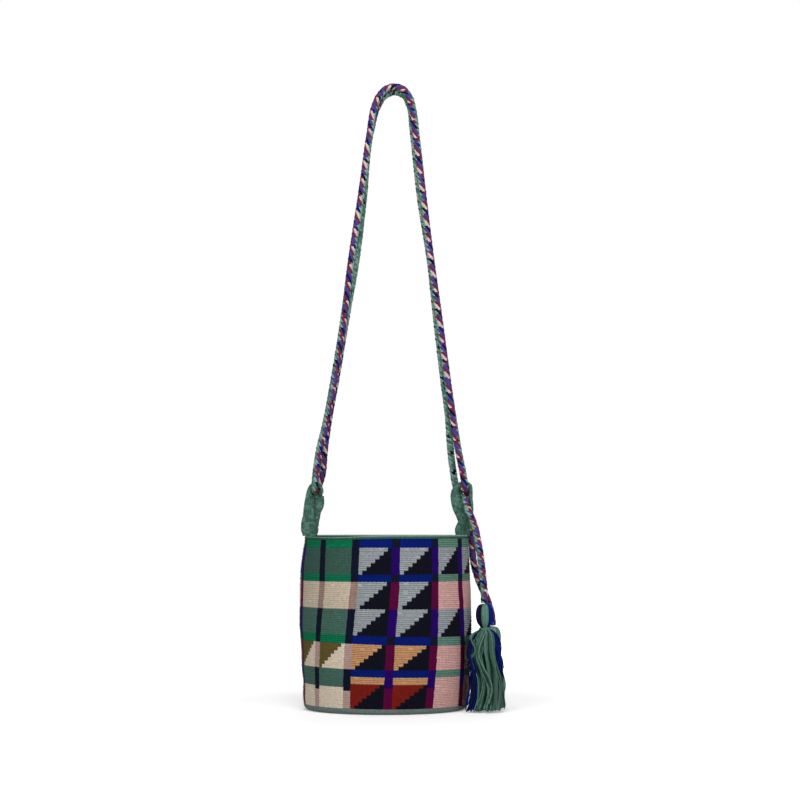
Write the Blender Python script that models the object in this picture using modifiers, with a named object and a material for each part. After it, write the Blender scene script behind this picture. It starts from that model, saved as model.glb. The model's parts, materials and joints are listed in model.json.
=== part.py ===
"""A crocheted bucket shoulder bag that hangs from its strap.

The origin is the underside of the strap's apex, where a hook holds it. X runs along the bag's
width, Y runs from its front to its back and Z is up. Lengths are in metres.
"""

import math

import bpy
import numpy as np

# Bag body
STRAP_DROP = 0.5330  # hook to rim
BAG_HEIGHT = 0.2070
BAG_HALF_WIDTH = 0.0980  # at the rim
BAG_BULGE = 0.0048  # how far the wall swells past the rim's half width
DEPTH_SHARE = 0.806  # the bag's front-to-back size as a share of its width
BAG_AXIS_X = -0.0113  # the bag hangs a little left of the hook, with the tassels right of it
WALL = 0.0038
FLOOR = 0.0042
ROWS = 48  # crochet rounds up the wall
GROOVE = 0.0006  # depth of the line between two rounds
BASE_CORNER = 0.0060  # rounding at the base's edge
WALL_SIDES = 26
RIM_ROUND = 0.0008

# Side loops
LOOP_HEIGHT = 0.0612
LOOP_SPAN = 0.0108  # scale of the loops' sideways shape
LOOP_SEAT = 0.0003  # gap between a loop's foot and the rim
LOOP_POINTS = 12  # corners of the band's section

# Strap and tassels
CORD = 0.0085
TASSEL_HEAD = 0.0108  # half width of a head
TASSEL_HEAD_LENGTH = 0.0275
TASSEL_NECK = 0.0052
FRONT_SKIRT = 0.0225  # half width at the front tassel's end
FRONT_SKIRT_LENGTH = 0.0920
BACK_SKIRT = 0.0190
BACK_SKIRT_LENGTH = 0.0640
TASSEL_FLUTES = 13
TASSEL_FLUTE_DEPTH = 0.0013
WRAP_THICK = 0.0016
WRAP_HEIGHT = 0.0042
FIT_GAP = 0.0003
END_GAP = 0.0007  # between the strap's cut end and a tassel's head
TUBE_STEP = 0.0500  # longest stretch of the strap's tube between two points

RIM_Z = -STRAP_DROP
BASE_Z = RIM_Z - BAG_HEIGHT

# The strap's route, from the front tassel through the right loop, over the hook, through the
# left loop, over the hook again, through the right loop and down to the back tassel.
STRAP_ROUTE = (
    (0.1053, -0.0360, -0.6137),
    (0.1052, -0.0357, -0.6080),
    (0.1030, -0.0310, -0.5764),
    (0.0989, -0.0235, -0.5448),
    (0.0928, -0.0170, -0.5182),
    (0.0882, -0.0145, -0.5075),
    (0.0848, -0.0110, -0.4986),
    (0.0841, 0.0000, -0.4916),
    (0.0831, 0.0054, -0.4907),
    (0.0789, 0.0094, -0.4870),
    (0.0747, 0.0100, -0.4791),
    (0.0701, 0.0062, -0.4575),
    (0.0673, 0.0046, -0.4359),
    (0.0646, 0.0044, -0.3962),
    (0.0587, 0.0044, -0.3479),
    (0.0503, 0.0044, -0.2751),
    (0.0425, 0.0045, -0.2020),
    (0.0311, 0.0044, -0.1286),
    (0.0217, 0.0044, -0.0425),
    (0.0178, 0.0043, -0.0125),
    (0.0120, 0.0042, -0.0007),
    (0.0000, 0.0040, 0.0043),
    (-0.0128, 0.0042, -0.0005),
    (-0.0208, 0.0043, -0.0125),
    (-0.0293, 0.0044, -0.0425),
    (-0.0383, 0.0044, -0.1286),
    (-0.0470, 0.0044, -0.2021),
    (-0.0594, 0.0044, -0.2751),
    (-0.0713, 0.0044, -0.3478),
    (-0.0799, 0.0044, -0.3962),
    (-0.0848, 0.0050, -0.4330),
    (-0.0884, 0.0102, -0.4650),
    (-0.0913, 0.0116, -0.4738),
    (-0.0938, 0.0080, -0.4795),
    (-0.0952, 0.0000, -0.4819),
    (-0.0955, -0.0080, -0.4795),
    (-0.0954, -0.0114, -0.4735),
    (-0.0944, -0.0094, -0.4610),
    (-0.0914, -0.0056, -0.4380),
    (-0.0820, -0.0044, -0.3967),
    (-0.0733, -0.0044, -0.3485),
    (-0.0618, -0.0044, -0.2760),
    (-0.0526, -0.0044, -0.2032),
    (-0.0416, -0.0044, -0.1301),
    (-0.0298, -0.0044, -0.0444),
    (-0.0262, -0.0044, -0.0210),
    (-0.0187, -0.0042, -0.0022),
    (-0.0100, -0.0040, 0.0065),
    (-0.0007, -0.0038, 0.0088),
    (0.0086, -0.0039, 0.0065),
    (0.0168, -0.0041, -0.0028),
    (0.0221, -0.0044, -0.0210),
    (0.0250, -0.0044, -0.0444),
    (0.0346, -0.0044, -0.1301),
    (0.0435, -0.0045, -0.2033),
    (0.0535, -0.0044, -0.2761),
    (0.0631, -0.0044, -0.3485),
    (0.0702, -0.0044, -0.3967),
    (0.0765, -0.0058, -0.4363),
    (0.0818, -0.0102, -0.4636),
    (0.0835, -0.0096, -0.4750),
    (0.0840, 0.0000, -0.4805),
    (0.0852, 0.0066, -0.4806),
    (0.0880, 0.0146, -0.4850),
    (0.0895, 0.0165, -0.4980),
    (0.0912, 0.0166, -0.5187),
    (0.0924, 0.0166, -0.5400),
    (0.0962, 0.0166, -0.5735),
    (0.1026, 0.0162, -0.5932),
    (0.1122, 0.0160, -0.6150),
    (0.1172, 0.0160, -0.6370),
    (0.1174, 0.0160, -0.6428),
)

# Each loop is one band, from one end on the rim over the arch to its other end. Columns: along X
# from the rim's end in LOOP_SPANs (towards the bag's middle), height above the rim as a share of
# LOOP_HEIGHT, place along Y, width, thickness, and how far the flat is turned from facing front.
LEFT_LOOP = (
    (0.70, 0.000, -0.0026, 0.0160, 0.0046, 0),
    (0.68, 0.085, -0.0026, 0.0205, 0.0048, 0),
    (0.50, 0.210, -0.0026, 0.0165, 0.0048, 0),
    (0.56, 0.370, -0.0026, 0.0130, 0.0046, 0),
    (0.64, 0.565, -0.0022, 0.0125, 0.0046, 18),
    (0.60, 0.725, -0.0010, 0.0115, 0.0046, 55),
    (0.60, 0.845, 0.0000, 0.0100, 0.0046, 86),
    (0.86, 0.930, 0.0000, 0.0096, 0.0046, 90),
    (1.306, 0.962, 0.0000, 0.0096, 0.0046, 90),
    (1.75, 0.930, 0.0000, 0.0096, 0.0046, 90),
    (2.01, 0.845, 0.0000, 0.0100, 0.0046, 88),
    (1.94, 0.725, 0.0008, 0.0105, 0.0046, 74),
    (1.68, 0.565, 0.0022, 0.0112, 0.0046, 48),
    (1.40, 0.410, 0.0030, 0.0112, 0.0046, 26),
    (1.21, 0.255, 0.0030, 0.0112, 0.0046, 8),
    (0.99, 0.100, 0.0030, 0.0125, 0.0046, 0),
    (0.93, 0.000, 0.0030, 0.0120, 0.0044, 0),
)
RIGHT_LOOP = (
    (0.88, 0.000, -0.0010, 0.0085, 0.0052, 0),
    (0.90, 0.090, -0.0010, 0.0092, 0.0054, 0),
    (0.66, 0.225, -0.0010, 0.0078, 0.0052, 0),
    (0.82, 0.370, -0.0010, 0.0100, 0.0048, 0),
    (1.10, 0.530, -0.0006, 0.0120, 0.0046, 6),
    (1.27, 0.665, 0.0000, 0.0120, 0.0046, 8),
    (1.30, 0.800, 0.0000, 0.0114, 0.0046, 24),
    (1.15, 0.893, 0.0000, 0.0104, 0.0046, 58),
    (0.78, 0.960, 0.0000, 0.0096, 0.0046, 84),
    (0.25, 0.986, 0.0000, 0.0096, 0.0046, 90),
    (-0.20, 0.950, 0.0000, 0.0096, 0.0046, 90),
    (-0.38, 0.862, 0.0000, 0.0100, 0.0044, 90),
    (-0.40, 0.665, 0.0000, 0.0105, 0.0042, 88),
    (-0.46, 0.510, 0.0010, 0.0105, 0.0042, 84),
    (-0.37, 0.350, 0.0012, 0.0100, 0.0044, 78),
    (-0.12, 0.200, 0.0012, 0.0084, 0.0050, 50),
    (0.03, 0.095, 0.0004, 0.0074, 0.0056, 12),
    (0.03, 0.000, 0.0004, 0.0074, 0.0054, 0),
)


def clear_scene():
    for obj in list(bpy.data.objects):
        bpy.data.objects.remove(obj, do_unlink=True)


def make_material(name, colour, roughness):
    material = bpy.data.materials.new(name)
    material.use_nodes = True
    shader = material.node_tree.nodes["Principled BSDF"]
    shader.inputs["Base Color"].default_value = (*colour, 1)
    shader.inputs["Roughness"].default_value = roughness
    material.diffuse_color = (*colour, 1)
    return material


def add_object(name, data, material, collection):
    obj = bpy.data.objects.new(name, data)
    data.materials.append(material)
    collection.objects.link(obj)
    return obj


def turned(name, profile, sides, material, collection):
    """A closed solid of revolution from (radius, height) pairs."""
    mesh = bpy.data.meshes.new(name)
    mesh.from_pydata([(r, 0, z) for r, z in profile], [(i, i + 1) for i in range(len(profile) - 1)], [])
    obj = add_object(name, mesh, material, collection)
    screw = obj.modifiers.new("Screw", "SCREW")
    screw.axis = "Z"
    screw.steps = sides
    screw.render_steps = sides
    screw.use_merge_vertices = True
    screw.merge_threshold = 0.00005
    return obj


def lofted(name, rings, material, collection):
    """A closed solid through rings of equal point counts, in order, with flat ends."""
    count = len(rings[0])
    vertices = [tuple(p) for ring in rings for p in ring]
    faces = []
    for k in range(len(rings) - 1):
        for i in range(count):
            j = (i + 1) % count
            a, b = k * count, (k + 1) * count
            faces.append((a + i, a + j, b + j, b + i))
    faces.append(tuple(reversed(range(count))))
    last = (len(rings) - 1) * count
    faces.append(tuple(last + i for i in range(count)))
    mesh = bpy.data.meshes.new(name)
    mesh.from_pydata(vertices, [], faces)
    mesh.validate()
    return add_object(name, mesh, material, collection)


def smooth_rows(rows, steps):
    """Catmull-Rom values between rows of numbers."""
    rows = np.array(rows, float)
    padded = np.vstack([2 * rows[0] - rows[1], rows, 2 * rows[-1] - rows[-2]])
    out = []
    for i in range(1, len(padded) - 2):
        p0, p1, p2, p3 = padded[i - 1 : i + 3]
        for k in range(steps):
            t = k / steps
            out.append(
                0.5
                * (
                    2 * p1
                    + (p2 - p0) * t
                    + (2 * p0 - 5 * p1 + 4 * p2 - p3) * t**2
                    + (3 * p1 - p0 - 3 * p2 + p3) * t**3
                )
            )
    out.append(rows[-1])
    return np.array(out)


def body_half_width(height):
    """The wall's half width at a height above the base."""
    share = height / BAG_HEIGHT
    swell = BAG_BULGE * math.sin(math.pi * min(max((share - 0.02) / 0.93, 0), 1)) ** 0.9
    taper = 0.0012 * max(0.25 - share, 0) / 0.25
    return BAG_HALF_WIDTH + swell - taper


def body_profile():
    """Outside from the rim down, the base, then the inside back up to the rim."""
    row = BAG_HEIGHT / ROWS
    outer = [(body_half_width(BAG_HEIGHT) - WALL + RIM_ROUND, BAG_HEIGHT)]
    outer.append((body_half_width(BAG_HEIGHT) - RIM_ROUND, BAG_HEIGHT))
    for i in range(ROWS):
        top = BAG_HEIGHT - i * row
        if top - row < BASE_CORNER:
            break
        outer.append((body_half_width(top - row / 2), top - row * 0.45))
        outer.append((body_half_width(top - row) - GROOVE, top - row))
    edge = body_half_width(BASE_CORNER)
    for degrees in (0, 30, 60, 90):
        angle = math.radians(degrees)
        outer.append(
            (edge - BASE_CORNER * (1 - math.cos(angle)), BASE_CORNER * (1 - math.sin(angle)))
        )
    outer.append((0, 0))
    inner = [(0, FLOOR)]
    inner.append((edge - WALL - BASE_CORNER * 0.6, FLOOR))
    for share in (0.06, 0.2, 0.36, 0.52, 0.68, 0.84):
        height = share * BAG_HEIGHT
        inner.append((body_half_width(height) - WALL, height))
    inner.append((body_half_width(BAG_HEIGHT) - WALL, BAG_HEIGHT - RIM_ROUND))
    inner.append(outer[0])
    return outer + inner


def make_body(material, collection):
    obj = turned("bag_body", body_profile(), WALL_SIDES, material, collection)
    obj.location = (BAG_AXIS_X, 0, BASE_Z)
    obj.scale = (1, DEPTH_SHARE, 1)
    return obj


def band_ring(centre, along, width, thick, turn):
    """A rounded section of a flat band, turned about its own path."""
    across = np.cross((0, 1, 0), along)
    across /= np.linalg.norm(across)
    back = np.cross(along, across)
    wide = math.cos(turn) * across + math.sin(turn) * back
    flat = np.cross(along, wide)
    points = []
    for i in range(LOOP_POINTS):
        angle = 2 * math.pi * i / LOOP_POINTS
        c, s = math.cos(angle), math.sin(angle)
        reach = (abs(c) ** 2.6 + abs(s) ** 2.6) ** (-1 / 2.6)
        points.append(centre + wide * c * reach * width / 2 + flat * s * reach * thick / 2)
    return points


def make_loop(name, table, side, material, collection):
    rows = smooth_rows(table, 2)
    end_x = BAG_AXIS_X + side * BAG_HALF_WIDTH
    centres = np.array(
        [
            (end_x - side * r[0] * LOOP_SPAN, r[2], RIM_Z + LOOP_SEAT + r[1] * LOOP_HEIGHT)
            for r in rows
        ]
    )
    rings = []
    for k, r in enumerate(rows):
        before, after = centres[max(k - 1, 0)], centres[min(k + 1, len(rows) - 1)]
        along = after - before
        if k == 0:
            along = np.array((0.0, 0.0, 1.0))
        if k == len(rows) - 1:
            along = np.array((0.0, 0.0, -1.0))
        along = along / np.linalg.norm(along)
        rings.append(band_ring(centres[k], along, r[3], r[4], math.radians(r[5])))
    return lofted(name, rings, material, collection)


def route_curve(route, step):
    """Points on a smooth curve through the route, none further apart than the step."""
    p = np.array(route, float)
    long = np.linalg.norm(np.diff(p, axis=0), axis=1)
    lean = np.zeros_like(p)
    before, after = long[:-1, None], long[1:, None]
    lean[1:-1] = (
        after * (p[1:-1] - p[:-2]) / before + before * (p[2:] - p[1:-1]) / after
    ) / (before + after)
    lean[0] = (p[1] - p[0]) / long[0]
    lean[-1] = (p[-1] - p[-2]) / long[-1]
    points = []
    for i in range(len(p) - 1):
        parts = max(1, math.ceil(long[i] / step))
        for k in range(parts):
            t = k / parts
            points.append(
                (2 * t**3 - 3 * t**2 + 1) * p[i]
                + (t**3 - 2 * t**2 + t) * long[i] * lean[i]
                + (3 * t**2 - 2 * t**3) * p[i + 1]
                + (t**3 - t**2) * long[i] * lean[i + 1]
            )
    points.append(p[-1])
    return points


def make_strap(material, collection):
    curve = bpy.data.curves.new("strap_cord", "CURVE")
    curve.dimensions = "3D"
    curve.bevel_depth = CORD / 2
    curve.bevel_resolution = 2
    curve.use_fill_caps = True
    spline = curve.splines.new("POLY")
    tube = route_curve(STRAP_ROUTE, TUBE_STEP)
    spline.points.add(len(tube) - 1)
    for point, place in zip(spline.points, tube):
        point.co = (*place, 1)
    return add_object("strap_cord", curve, material, collection)


def tassel_rings(half_width, skirt):
    """Rings from the head's top to the skirt's end, about the tassel's own axis."""
    head = TASSEL_HEAD_LENGTH
    shape = [
        (0.34 * TASSEL_HEAD, 0, 0),
        (0.74 * TASSEL_HEAD, 0.10 * head, 0.2),
        (0.96 * TASSEL_HEAD, 0.30 * head, 0.6),
        (TASSEL_HEAD, 0.55 * head, 0.7),
        (0.86 * TASSEL_HEAD, 0.80 * head, 0.6),
        (TASSEL_NECK, head, 0),
        (TASSEL_NECK, head + WRAP_HEIGHT + 2 * FIT_GAP, 0),
        (0.50 * half_width, head + WRAP_HEIGHT + 0.06 * skirt, 0.7),
        (0.72 * half_width, head + WRAP_HEIGHT + 0.16 * skirt, 1),
        (0.83 * half_width, head + WRAP_HEIGHT + 0.34 * skirt, 1),
        (0.92 * half_width, head + WRAP_HEIGHT + 0.66 * skirt, 1),
        (half_width, head + WRAP_HEIGHT + skirt, 1),
    ]
    rings = []
    for radius, drop, fluting in shape:
        ring = []
        for i in range(2 * TASSEL_FLUTES):
            angle = math.pi * i / TASSEL_FLUTES
            reach = radius - (TASSEL_FLUTE_DEPTH * fluting if i % 2 else 0)
            ring.append((reach * math.cos(angle), -reach * math.sin(angle), -drop))
        rings.append(ring)
    return rings


def make_tassel(name, top, lean, skirt, yarn, wrap_yarn, collection):
    tassel = lofted(name, tassel_rings(*skirt), yarn, collection)
    tassel.location = top
    tassel.rotation_euler = (0, math.radians(lean), 0)
    inside = TASSEL_NECK + FIT_GAP
    outside = inside + WRAP_THICK
    high, low = 0.5 * WRAP_HEIGHT, -0.5 * WRAP_HEIGHT
    profile = [
        (inside, high),
        (outside - 0.0005, high),
        (outside, high - 0.0006),
        (outside, low + 0.0006),
        (outside - 0.0005, low),
        (inside, low),
        (inside, high),
    ]
    wrap = turned(name + "_wrap", profile, 20, wrap_yarn, collection)
    wrap.parent = tassel
    wrap.location = (0, 0, -(TASSEL_HEAD_LENGTH + FIT_GAP + 0.5 * WRAP_HEIGHT))
    return tassel


def below(point, gap):
    return (point[0], point[1], point[2] - gap)


def main():
    clear_scene()
    collection = bpy.data.collections.new("crochet_bag")
    bpy.context.scene.collection.children.link(collection)
    body_yarn = make_material("body_yarn", (0.10, 0.15, 0.17), 0.85)
    sage_yarn = make_material("sage_yarn", (0.10, 0.18, 0.14), 0.85)
    strap_yarn = make_material("strap_yarn", (0.13, 0.09, 0.13), 0.85)
    tassel_yarn = make_material("tassel_yarn", (0.07, 0.15, 0.10), 0.85)

    make_body(body_yarn, collection)
    make_loop("left_loop", LEFT_LOOP, -1, sage_yarn, collection)
    make_loop("right_loop", RIGHT_LOOP, 1, sage_yarn, collection)
    make_strap(strap_yarn, collection)
    front_skirt = (FRONT_SKIRT, FRONT_SKIRT_LENGTH)
    front_top = below(STRAP_ROUTE[0], END_GAP)
    make_tassel("front_tassel", front_top, -1, front_skirt, tassel_yarn, sage_yarn, collection)
    back_skirt = (BACK_SKIRT, BACK_SKIRT_LENGTH)
    back_top = below(STRAP_ROUTE[-1], END_GAP)
    make_tassel("back_tassel", back_top, 3, back_skirt, tassel_yarn, sage_yarn, collection)


main()
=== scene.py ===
"""A crocheted bucket bag that hangs from its strap, with its stitches, cord and tassels."""

import json
import math
import random

import bpy
import numpy as np
from mathutils import Vector
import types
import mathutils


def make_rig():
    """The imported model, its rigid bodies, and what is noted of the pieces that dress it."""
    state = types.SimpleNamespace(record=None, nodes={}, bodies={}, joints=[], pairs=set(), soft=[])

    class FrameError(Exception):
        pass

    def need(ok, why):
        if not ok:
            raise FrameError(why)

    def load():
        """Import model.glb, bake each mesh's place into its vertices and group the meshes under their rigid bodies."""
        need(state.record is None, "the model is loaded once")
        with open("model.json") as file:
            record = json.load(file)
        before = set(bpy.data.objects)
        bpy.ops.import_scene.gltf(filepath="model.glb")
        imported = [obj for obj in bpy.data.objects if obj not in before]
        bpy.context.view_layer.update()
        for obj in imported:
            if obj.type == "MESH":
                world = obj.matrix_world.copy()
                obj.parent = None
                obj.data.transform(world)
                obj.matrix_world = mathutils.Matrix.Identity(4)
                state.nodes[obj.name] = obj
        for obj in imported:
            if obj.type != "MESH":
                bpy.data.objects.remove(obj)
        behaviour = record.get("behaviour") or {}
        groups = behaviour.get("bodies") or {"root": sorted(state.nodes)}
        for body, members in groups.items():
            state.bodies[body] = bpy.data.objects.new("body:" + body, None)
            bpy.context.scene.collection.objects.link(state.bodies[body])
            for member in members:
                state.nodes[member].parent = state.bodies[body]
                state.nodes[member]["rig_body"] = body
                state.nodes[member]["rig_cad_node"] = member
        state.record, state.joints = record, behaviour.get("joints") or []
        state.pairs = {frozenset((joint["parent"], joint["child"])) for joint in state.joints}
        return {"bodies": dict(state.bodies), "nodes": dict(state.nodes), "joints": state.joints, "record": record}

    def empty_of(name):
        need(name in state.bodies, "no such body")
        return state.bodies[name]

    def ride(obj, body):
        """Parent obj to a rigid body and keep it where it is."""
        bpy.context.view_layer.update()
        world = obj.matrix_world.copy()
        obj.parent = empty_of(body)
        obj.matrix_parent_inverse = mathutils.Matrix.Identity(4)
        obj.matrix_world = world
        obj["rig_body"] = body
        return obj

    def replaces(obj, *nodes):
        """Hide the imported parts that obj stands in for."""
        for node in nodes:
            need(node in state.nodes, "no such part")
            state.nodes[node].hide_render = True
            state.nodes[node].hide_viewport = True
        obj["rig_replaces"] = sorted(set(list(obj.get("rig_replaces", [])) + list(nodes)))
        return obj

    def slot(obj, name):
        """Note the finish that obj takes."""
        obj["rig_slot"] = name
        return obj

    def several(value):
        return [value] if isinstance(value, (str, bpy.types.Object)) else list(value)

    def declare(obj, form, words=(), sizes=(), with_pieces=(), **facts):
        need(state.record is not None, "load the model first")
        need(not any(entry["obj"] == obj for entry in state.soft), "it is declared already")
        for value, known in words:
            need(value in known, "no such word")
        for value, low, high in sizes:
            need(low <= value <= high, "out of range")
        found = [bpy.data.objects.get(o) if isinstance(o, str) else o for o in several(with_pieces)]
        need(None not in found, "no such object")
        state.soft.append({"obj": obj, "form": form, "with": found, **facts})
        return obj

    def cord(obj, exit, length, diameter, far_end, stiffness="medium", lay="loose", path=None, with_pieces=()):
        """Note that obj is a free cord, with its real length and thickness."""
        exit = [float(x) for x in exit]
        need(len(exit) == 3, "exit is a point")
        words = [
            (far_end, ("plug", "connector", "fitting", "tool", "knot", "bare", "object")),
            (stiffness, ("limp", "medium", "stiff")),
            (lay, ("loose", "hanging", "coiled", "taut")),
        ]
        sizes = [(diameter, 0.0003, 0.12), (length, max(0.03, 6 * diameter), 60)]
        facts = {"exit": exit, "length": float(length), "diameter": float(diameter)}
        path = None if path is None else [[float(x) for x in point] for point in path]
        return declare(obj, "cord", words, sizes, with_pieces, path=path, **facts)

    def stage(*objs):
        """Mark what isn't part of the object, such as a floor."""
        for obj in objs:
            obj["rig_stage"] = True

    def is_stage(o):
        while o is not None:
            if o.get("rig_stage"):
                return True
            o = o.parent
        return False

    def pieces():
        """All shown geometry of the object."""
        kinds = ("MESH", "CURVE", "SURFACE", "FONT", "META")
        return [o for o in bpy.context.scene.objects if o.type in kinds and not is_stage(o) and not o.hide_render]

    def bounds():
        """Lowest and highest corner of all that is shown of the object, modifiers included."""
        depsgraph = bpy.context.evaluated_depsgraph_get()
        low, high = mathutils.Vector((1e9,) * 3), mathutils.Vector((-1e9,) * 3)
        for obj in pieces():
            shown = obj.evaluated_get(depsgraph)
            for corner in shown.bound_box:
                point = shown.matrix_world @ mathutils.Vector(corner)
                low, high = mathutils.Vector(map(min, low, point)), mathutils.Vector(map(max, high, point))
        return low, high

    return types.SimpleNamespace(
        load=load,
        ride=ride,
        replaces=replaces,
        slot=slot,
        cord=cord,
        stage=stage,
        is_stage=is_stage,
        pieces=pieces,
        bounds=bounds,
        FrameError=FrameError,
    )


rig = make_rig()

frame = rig.load()
cad_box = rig.bounds()

TURN = 2 * math.pi

# Camera
CAMERA_PLACE = (0.0061, -2.2, -0.5223)
CAMERA_PITCH = 3.9  # degrees above level
SENSOR_WIDTH = 36
PICTURE_WIDTH = 800  # pixels
FOCAL_LENGTH = 1833  # pixels

# Bag body, as in the CAD
STRAP_DROP = 0.5330
BAG_HEIGHT = 0.2070
BAG_HALF_WIDTH = 0.0980
BAG_BULGE = 0.0048
DEPTH_SHARE = 0.806
BAG_AXIS_X = -0.0113
FLOOR = 0.0042
BASE_CORNER = 0.0060
RIM_Z = -STRAP_DROP
BASE_Z = RIM_Z - BAG_HEIGHT

# The crochet chart
STITCHES = 120  # in one round
PERIOD = 10  # stitches in a block and its stripe
PERIODS = STITCHES // PERIOD
BLOCK = 8
CHART_START = -2.616  # left edge of the first block, in periods from the front's middle

# Loops, as in the CAD
LOOP_HEIGHT = 0.0612
LOOP_SPAN = 0.0108
LOOP_SEAT = 0.0003

# Strap and tassels, as in the CAD
CORD = 0.0085
CORD_LENGTH = 2.37
TASSEL_HEAD = 0.0108
TASSEL_HEAD_LENGTH = 0.0275
TASSEL_NECK = 0.0052
FRONT_SKIRT = 0.0225  # half width at the front tassel's end
FRONT_SKIRT_LENGTH = 0.0920
BACK_SKIRT = 0.0190
BACK_SKIRT_LENGTH = 0.0640
WRAP_HEIGHT = 0.0042
END_GAP = 0.0007

STRAP_ROUTE = (
    (0.1053, -0.0360, -0.6137),
    (0.1052, -0.0357, -0.6080),
    (0.1030, -0.0310, -0.5764),
    (0.0989, -0.0235, -0.5448),
    (0.0928, -0.0170, -0.5182),
    (0.0882, -0.0145, -0.5075),
    (0.0848, -0.0110, -0.4986),
    (0.0841, 0.0000, -0.4916),
    (0.0831, 0.0054, -0.4907),
    (0.0789, 0.0094, -0.4870),
    (0.0747, 0.0100, -0.4791),
    (0.0701, 0.0062, -0.4575),
    (0.0673, 0.0046, -0.4359),
    (0.0646, 0.0044, -0.3962),
    (0.0587, 0.0044, -0.3479),
    (0.0503, 0.0044, -0.2751),
    (0.0425, 0.0045, -0.2020),
    (0.0311, 0.0044, -0.1286),
    (0.0217, 0.0044, -0.0425),
    (0.0178, 0.0043, -0.0125),
    (0.0120, 0.0042, -0.0007),
    (0.0000, 0.0040, 0.0043),
    (-0.0128, 0.0042, -0.0005),
    (-0.0208, 0.0043, -0.0125),
    (-0.0293, 0.0044, -0.0425),
    (-0.0383, 0.0044, -0.1286),
    (-0.0470, 0.0044, -0.2021),
    (-0.0594, 0.0044, -0.2751),
    (-0.0713, 0.0044, -0.3478),
    (-0.0799, 0.0044, -0.3962),
    (-0.0848, 0.0050, -0.4330),
    (-0.0884, 0.0102, -0.4650),
    (-0.0913, 0.0116, -0.4738),
    (-0.0938, 0.0080, -0.4795),
    (-0.0952, 0.0000, -0.4819),
    (-0.0955, -0.0080, -0.4795),
    (-0.0954, -0.0114, -0.4735),
    (-0.0944, -0.0094, -0.4610),
    (-0.0914, -0.0056, -0.4380),
    (-0.0820, -0.0044, -0.3967),
    (-0.0733, -0.0044, -0.3485),
    (-0.0618, -0.0044, -0.2760),
    (-0.0526, -0.0044, -0.2032),
    (-0.0416, -0.0044, -0.1301),
    (-0.0298, -0.0044, -0.0444),
    (-0.0262, -0.0044, -0.0210),
    (-0.0187, -0.0042, -0.0022),
    (-0.0100, -0.0040, 0.0065),
    (-0.0007, -0.0038, 0.0088),
    (0.0086, -0.0039, 0.0065),
    (0.0168, -0.0041, -0.0028),
    (0.0221, -0.0044, -0.0210),
    (0.0250, -0.0044, -0.0444),
    (0.0346, -0.0044, -0.1301),
    (0.0435, -0.0045, -0.2033),
    (0.0535, -0.0044, -0.2761),
    (0.0631, -0.0044, -0.3485),
    (0.0702, -0.0044, -0.3967),
    (0.0765, -0.0058, -0.4363),
    (0.0818, -0.0102, -0.4636),
    (0.0835, -0.0096, -0.4750),
    (0.0840, 0.0000, -0.4805),
    (0.0852, 0.0066, -0.4806),
    (0.0880, 0.0146, -0.4850),
    (0.0895, 0.0165, -0.4980),
    (0.0912, 0.0166, -0.5187),
    (0.0924, 0.0166, -0.5400),
    (0.0962, 0.0166, -0.5735),
    (0.1026, 0.0162, -0.5932),
    (0.1122, 0.0160, -0.6150),
    (0.1172, 0.0160, -0.6370),
    (0.1174, 0.0160, -0.6428),
)

# Where the middle of the cord's striped side faces, as point of the route and direction: X to the
# right, Y away from the front, Z up. The green side is opposite.
STRIPES_FACE = (
    (0, (0.9, -0.6, 0)),
    (4, (0.9, -0.6, 0)),
    (11, (-0.3, 1, 0)),
    (14, (-0.3, 1, 0)),
    (18, (-0.45, 0.9, 0)),
    (21, (0, 0, 1)),
    (24, (0.7, -0.7, 0)),
    (25, (-0.7, 0.5, 0)),
    (26, (-0.8, 0.6, 0)),
    (27, (0.3, 1, 0)),
    (28, (0.8, 0.2, 0)),
    (31, (0.5, -0.9, 0)),
    (38, (0.95, -0.45, 0)),
    (40, (0.95, -0.3, 0)),
    (41, (0.6, -0.8, 0)),
    (42, (-0.6, -0.8, 0)),
    (44, (-0.7, -0.7, 0)),
    (45, (-0.3, -0.9, 0)),
    (48, (0, -0.8, 0.6)),
    (51, (-0.85, -0.5, 0)),
    (53, (0.7, -0.7, 0)),
    (56, (0.6, -0.8, 0)),
    (57, (-0.35, -1, 0)),
    (59, (-0.6, -0.9, 0)),
    (65, (0.2, -1, 0)),
    (71, (0.2, -1, 0)),
)

# Columns: along X from the rim's end in LOOP_SPANs, height as a share of LOOP_HEIGHT, place along
# Y, width, thickness, and how far the flat is turned from facing front.
LEFT_LOOP = (
    (0.70, -0.045, -0.0026, 0.0160, 0.0046, 0),
    (0.68, 0.085, -0.0026, 0.0205, 0.0048, 0),
    (0.50, 0.210, -0.0026, 0.0165, 0.0048, 0),
    (0.56, 0.370, -0.0026, 0.0130, 0.0046, 0),
    (0.64, 0.565, -0.0022, 0.0125, 0.0046, 18),
    (0.68, 0.725, -0.0010, 0.0120, 0.0066, 55),
    (0.70, 0.845, 0.0000, 0.0100, 0.0064, 86),
    (0.86, 0.930, 0.0000, 0.0096, 0.0046, 90),
    (1.306, 0.962, 0.0000, 0.0096, 0.0046, 90),
    (1.75, 0.930, 0.0000, 0.0096, 0.0046, 90),
    (1.90, 0.845, 0.0010, 0.0112, 0.0046, 64),
    (1.60, 0.755, 0.0034, 0.0142, 0.0044, 14),
    (1.60, 0.565, 0.0034, 0.0135, 0.0044, 8),
    (1.40, 0.410, 0.0030, 0.0112, 0.0046, 26),
    (1.21, 0.255, 0.0030, 0.0112, 0.0046, 8),
    (0.99, 0.100, 0.0030, 0.0125, 0.0046, 0),
    (0.93, -0.045, 0.0030, 0.0120, 0.0044, 0),
)
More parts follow.
